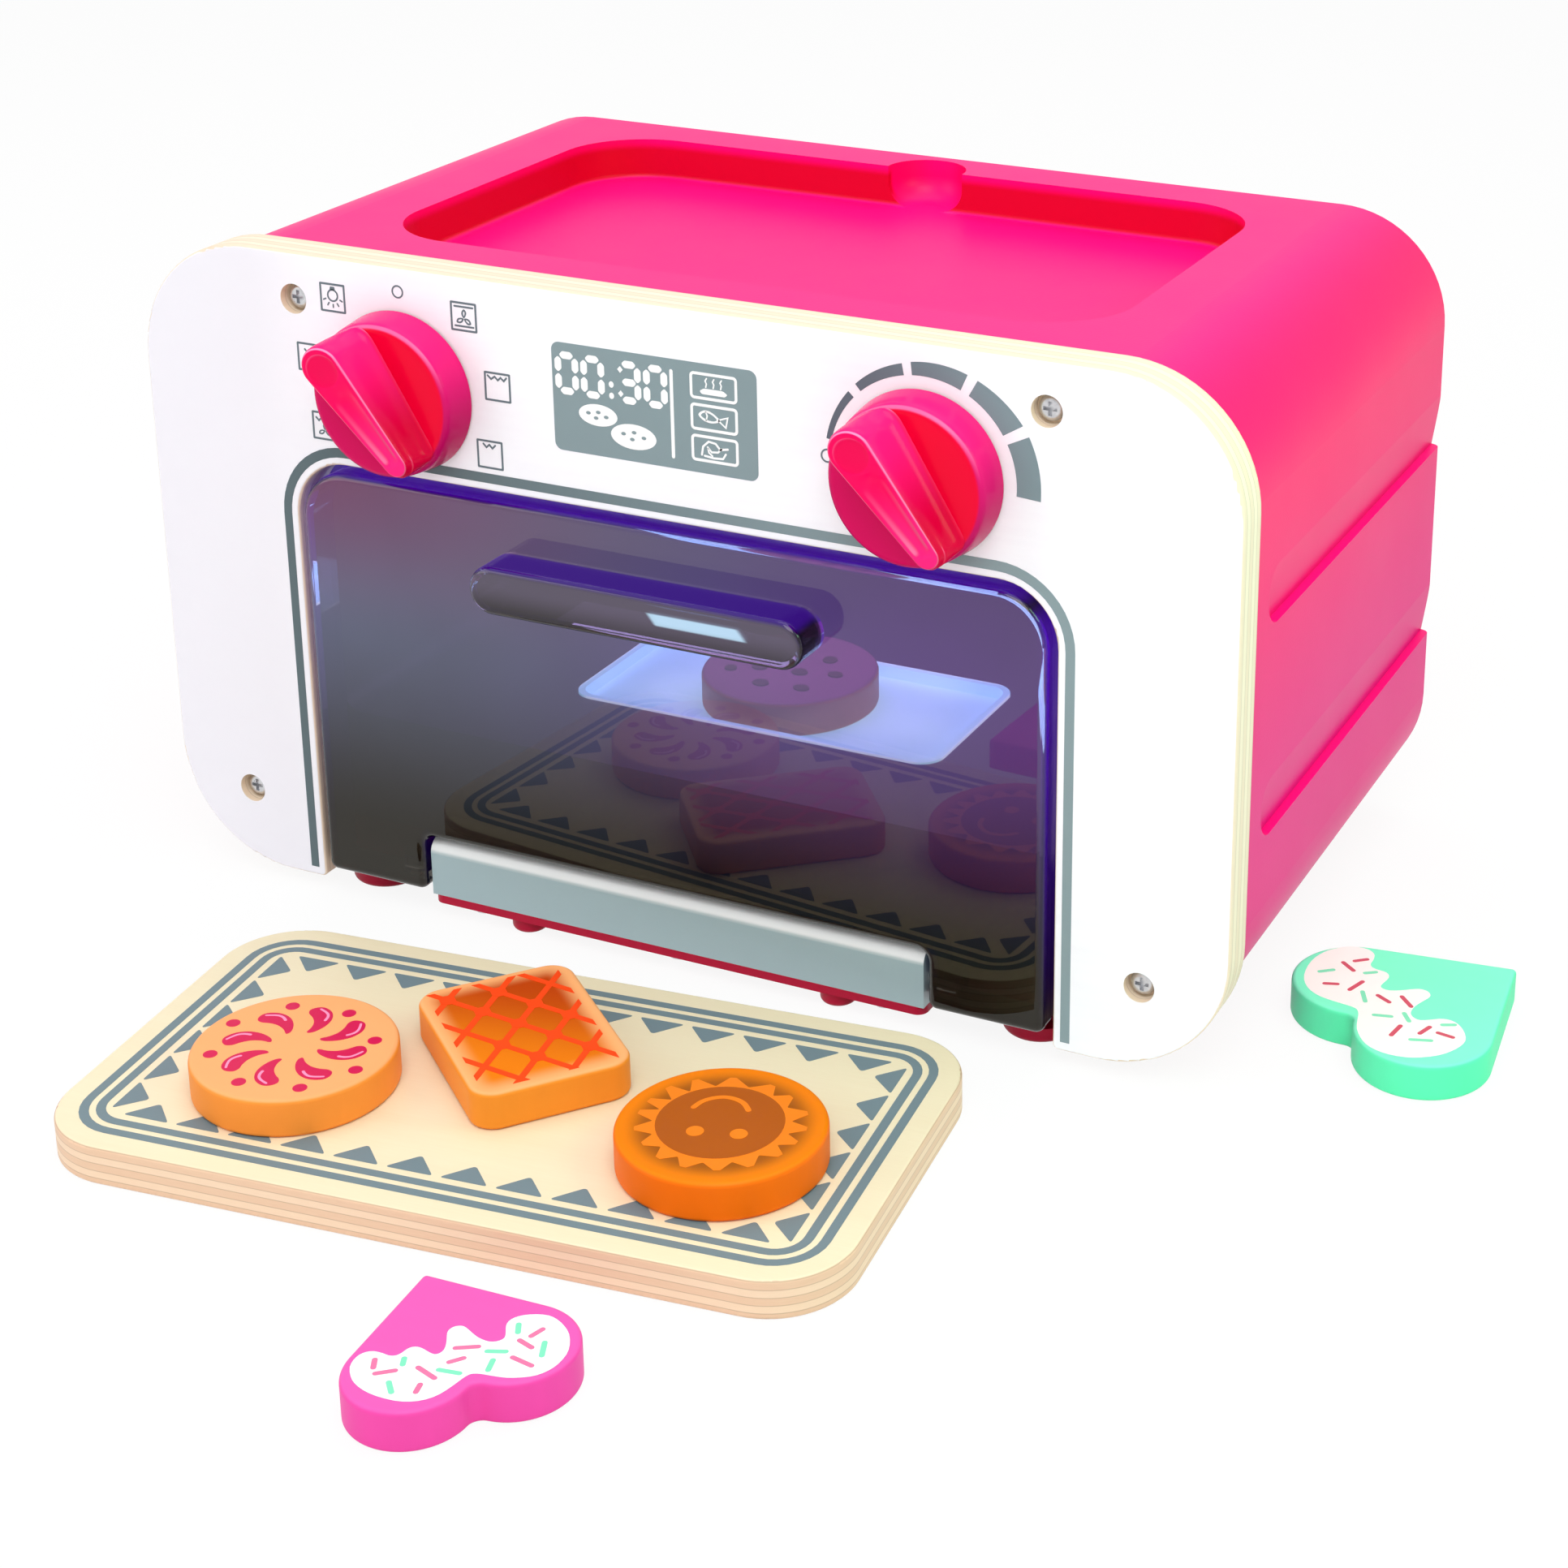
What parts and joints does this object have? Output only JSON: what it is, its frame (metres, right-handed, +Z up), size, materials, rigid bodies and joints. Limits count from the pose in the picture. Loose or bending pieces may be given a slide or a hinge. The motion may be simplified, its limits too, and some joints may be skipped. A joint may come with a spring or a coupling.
{
  "type": "toy oven",
  "caption": "Tabletop toy oven with a wooden front, smoked drop-down door, turning knobs and a lit cavity, with its wooden tray and play biscuits.",
  "frame": {"origin": "centre of the oven body footprint, in the plane of the soles of its feet on the table", "axes": "+Z up; the door faces -Y; +X to the right of someone facing the door"},
  "size_m": [0.3721, 0.3714, 0.1867],
  "materials": {
    "painted_panel": "satin white paint over birch plywood",
    "housing_plastic": "satin moulded plastic",
    "base_plastic": "satin moulded plastic",
    "foot_plastic": "satin moulded plastic",
    "cell_metal": "bare cell cans",
    "contact_metal": "plated spring steel",
    "liner_plastic": "dark satin plastic",
    "frosted_window": "frosted clear plastic",
    "board": "circuit board",
    "lamp_lens": "clear lamp resin",
    "hinge_plastic": "satin grey plastic",
    "steel": "drawn steel",
    "smoked_plastic": "polished smoked plastic",
    "control_plastic": "moulded control body",
    "knob_plastic": "glossy moulded plastic",
    "screw_metal": "plated steel",
    "tray_wood": "clear-coated plywood",
    "peach_paint": "satin paint over wood",
    "orange_paint": "satin paint over wood",
    "waffle_paint": "satin paint over wood",
    "pink_paint": "satin paint over wood",
    "mint_paint": "satin paint over wood"
  },
  "bodies": {
    "oven": {"front_panel": "painted_panel", "housing": "housing_plastic", "base_plate": "base_plastic", "feet_large": "foot_plastic", "feet_small": "foot_plastic", "battery_cover": "base_plastic", "batteries": "cell_metal", "battery_contacts": "contact_metal", "cavity_liner": "liner_plastic", "uv_window": "frosted_window", "led_board": "board", "uv_lamps": "lamp_lens", "hinge_bar": "hinge_plastic", "hinge_pins": "steel", "selector_switch": "control_plastic", "timer_unit": "control_plastic", "panel_screws": "screw_metal", "base_screws": "screw_metal", "cover_screw": "screw_metal", "liner_screws": "screw_metal", "board_screws": "screw_metal", "control_screws": "screw_metal"},
    "door": {"door": "smoked_plastic"},
    "selector": {"left_knob": "knob_plastic", "left_shaft": "steel"},
    "timer": {"right_knob": "knob_plastic", "right_shaft": "steel"},
    "tray": {"tray": "tray_wood"},
    "jam_biscuit": {"jam_biscuit": "peach_paint"},
    "sun_biscuit": {"sun_biscuit": "orange_paint"},
    "waffle_biscuit": {"waffle_biscuit": "waffle_paint"},
    "chip_biscuit": {"chip_biscuit": "peach_paint"},
    "pink_heart": {"pink_heart": "pink_paint"},
    "mint_heart": {"mint_heart": "mint_paint"}
  },
  "joints": [
    {"name": "door_hinge", "type": "hinge", "parent": "oven", "child": "door", "pos_m": [0, -0.0832, 0.014], "axis": [1, 0, 0], "range_deg": [0, 70]},
    {"name": "selector_turn", "type": "hinge", "parent": "oven", "child": "selector", "pos_m": [-0.075, -0.0882, 0.1533], "axis": [0, -1, 0], "range_deg": [-153.4, 82.4]},
    {"name": "timer_turn", "type": "hinge", "parent": "oven", "child": "timer", "pos_m": [0.075, -0.0882, 0.1533], "axis": [0, -1, 0], "range_deg": [-136, 52.7]},
    {"name": "tray_lift", "type": "slide", "parent": "oven", "child": "tray", "axis": [0, 0, 1], "range_m": [0, 0.06]},
    {"name": "jam_biscuit_lift", "type": "slide", "parent": "tray", "child": "jam_biscuit", "axis": [0, 0, 1], "range_m": [0, 0.05]},
    {"name": "sun_biscuit_lift", "type": "slide", "parent": "tray", "child": "sun_biscuit", "axis": [0, 0, 1], "range_m": [0, 0.05]},
    {"name": "waffle_biscuit_lift", "type": "slide", "parent": "tray", "child": "waffle_biscuit", "axis": [0, 0, 1], "range_m": [0, 0.05]},
    {"name": "chip_biscuit_lift", "type": "slide", "parent": "oven", "child": "chip_biscuit", "axis": [0, 0, 1], "range_m": [0, 0.05]},
    {"name": "pink_heart_lift", "type": "slide", "parent": "oven", "child": "pink_heart", "axis": [0, 0, 1], "range_m": [0, 0.06]},
    {"name": "mint_heart_lift", "type": "slide", "parent": "oven", "child": "mint_heart", "axis": [0, 0, 1], "range_m": [0, 0.06]}
  ]
}
